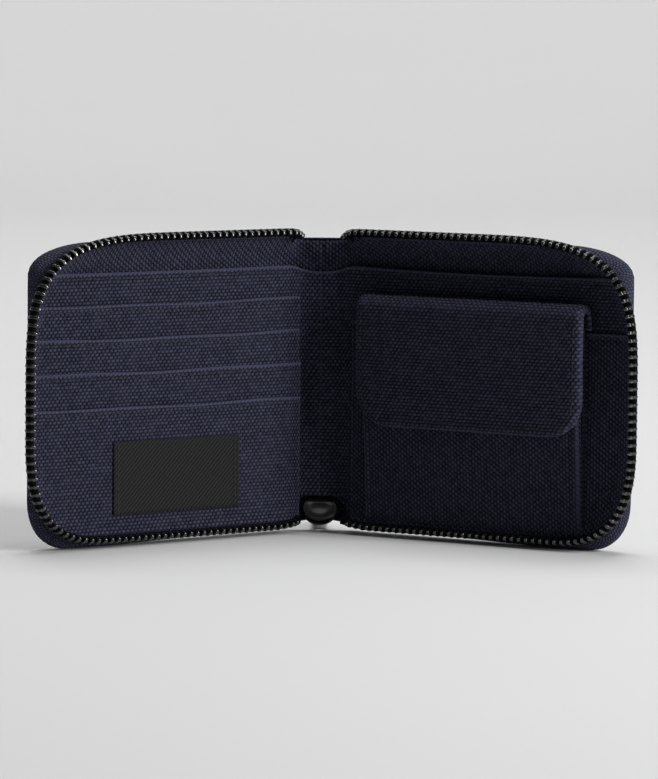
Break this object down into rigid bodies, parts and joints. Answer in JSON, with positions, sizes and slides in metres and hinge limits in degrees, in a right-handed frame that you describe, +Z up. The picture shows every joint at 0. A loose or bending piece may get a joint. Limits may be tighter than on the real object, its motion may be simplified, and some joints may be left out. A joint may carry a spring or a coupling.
{
  "type": "zip around wallet",
  "caption": "Small zip around wallet in woven canvas, standing open, with card pockets and a label on one side and a flapped coin pocket on the other.",
  "frame": {"origin": "middle of the bounding box at the floor, with the wallet standing open", "axes": "+Z up, +X to the coin pocket side, -Y towards the person looking into the open wallet"},
  "size_m": [0.1906, 0.0922, 0.0983],
  "materials": {
    "cover_canvas": "coarse basket weave canvas, matt",
    "pocket_canvas": "coarse basket weave canvas, matt",
    "lining_canvas": "canvas lining, matt",
    "stiffener": "plain board",
    "zip_tape": "black herringbone tape",
    "zip_teeth": "black, semi gloss",
    "zip_slider": "black, satin",
    "woven_label": "fine twill ribbon",
    "magnet": "plated disc"
  },
  "bodies": {
    "spine": {"spine_outer_cover": "cover_canvas", "spine_lining": "lining_canvas", "spine_notes_panel": "pocket_canvas", "left_tape_end": "zip_tape", "right_tape_end": "zip_tape", "left_teeth_end": "zip_teeth", "right_teeth_end": "zip_teeth", "zip_tail": "zip_tape", "bottom_stop": "zip_teeth"},
    "left_half": {"left_outer_cover": "cover_canvas", "left_cover_board": "stiffener", "left_inner_lining": "lining_canvas", "left_edge_lining": "lining_canvas", "left_zip_tape": "zip_tape", "left_zip_teeth": "zip_teeth", "left_top_stop": "zip_teeth", "left_notes_panel": "pocket_canvas", "card_pocket_1": "pocket_canvas", "card_pocket_2": "pocket_canvas", "card_pocket_3": "pocket_canvas", "card_pocket_4": "pocket_canvas", "woven_label": "woven_label"},
    "right_half": {"right_outer_cover": "cover_canvas", "right_cover_board": "stiffener", "right_inner_lining": "lining_canvas", "right_edge_lining": "lining_canvas", "right_zip_tape": "zip_tape", "right_zip_teeth": "zip_teeth", "right_top_stop": "zip_teeth", "right_notes_panel": "pocket_canvas", "slip_pocket": "pocket_canvas", "coin_pocket_back": "pocket_canvas", "coin_pocket_front": "pocket_canvas", "coin_pocket_gusset": "lining_canvas", "pocket_magnet": "magnet"},
    "flap_top": {"coin_flap_top": "pocket_canvas"},
    "flap_front": {"coin_flap_lining": "lining_canvas", "coin_flap_front": "pocket_canvas", "flap_magnet": "magnet"},
    "slider": {"slider_body": "zip_slider", "slider_crown": "zip_slider"},
    "pull": {"pull_tab": "zip_slider"}
  },
  "joints": [
    {"name": "left_cover_fold", "type": "hinge", "parent": "spine", "child": "left_half", "pos_m": [-0.01238, 0.02536, 0.048], "axis": [0, 0, -1], "range_deg": [-53.5, 36.5], "deforming": ["left_tape_end", "left_teeth_end"]},
    {"name": "right_cover_fold", "type": "hinge", "parent": "spine", "child": "right_half", "pos_m": [0.00662, 0.02536, 0.048], "axis": [0, 0, 1], "range_deg": [-59.6, 30.4], "deforming": ["right_tape_end", "right_teeth_end"]},
    {"name": "coin_flap_lift", "type": "hinge", "parent": "right_half", "child": "flap_top", "pos_m": [0.04651, -0.00349, 0.077], "axis": [-0.8625, 0.506, 0], "range_deg": [0, 80]},
    {"name": "coin_flap_fold", "type": "hinge", "parent": "flap_top", "child": "flap_front", "pos_m": [0.04301, -0.00944, 0.077], "axis": [-0.8625, 0.506, 0], "range_deg": [0, 65]},
    {"name": "slider_travel", "type": "slide", "parent": "spine", "child": "slider", "axis": [0, -0.766, -0.6428], "range_m": [0, 0.005]},
    {"name": "pull_tab_swing", "type": "hinge", "parent": "slider", "child": "pull", "pos_m": [-0.00288, 0.02517, 0.00337], "axis": [1, 0, 0], "range_deg": [-60, 40]}
  ]
}
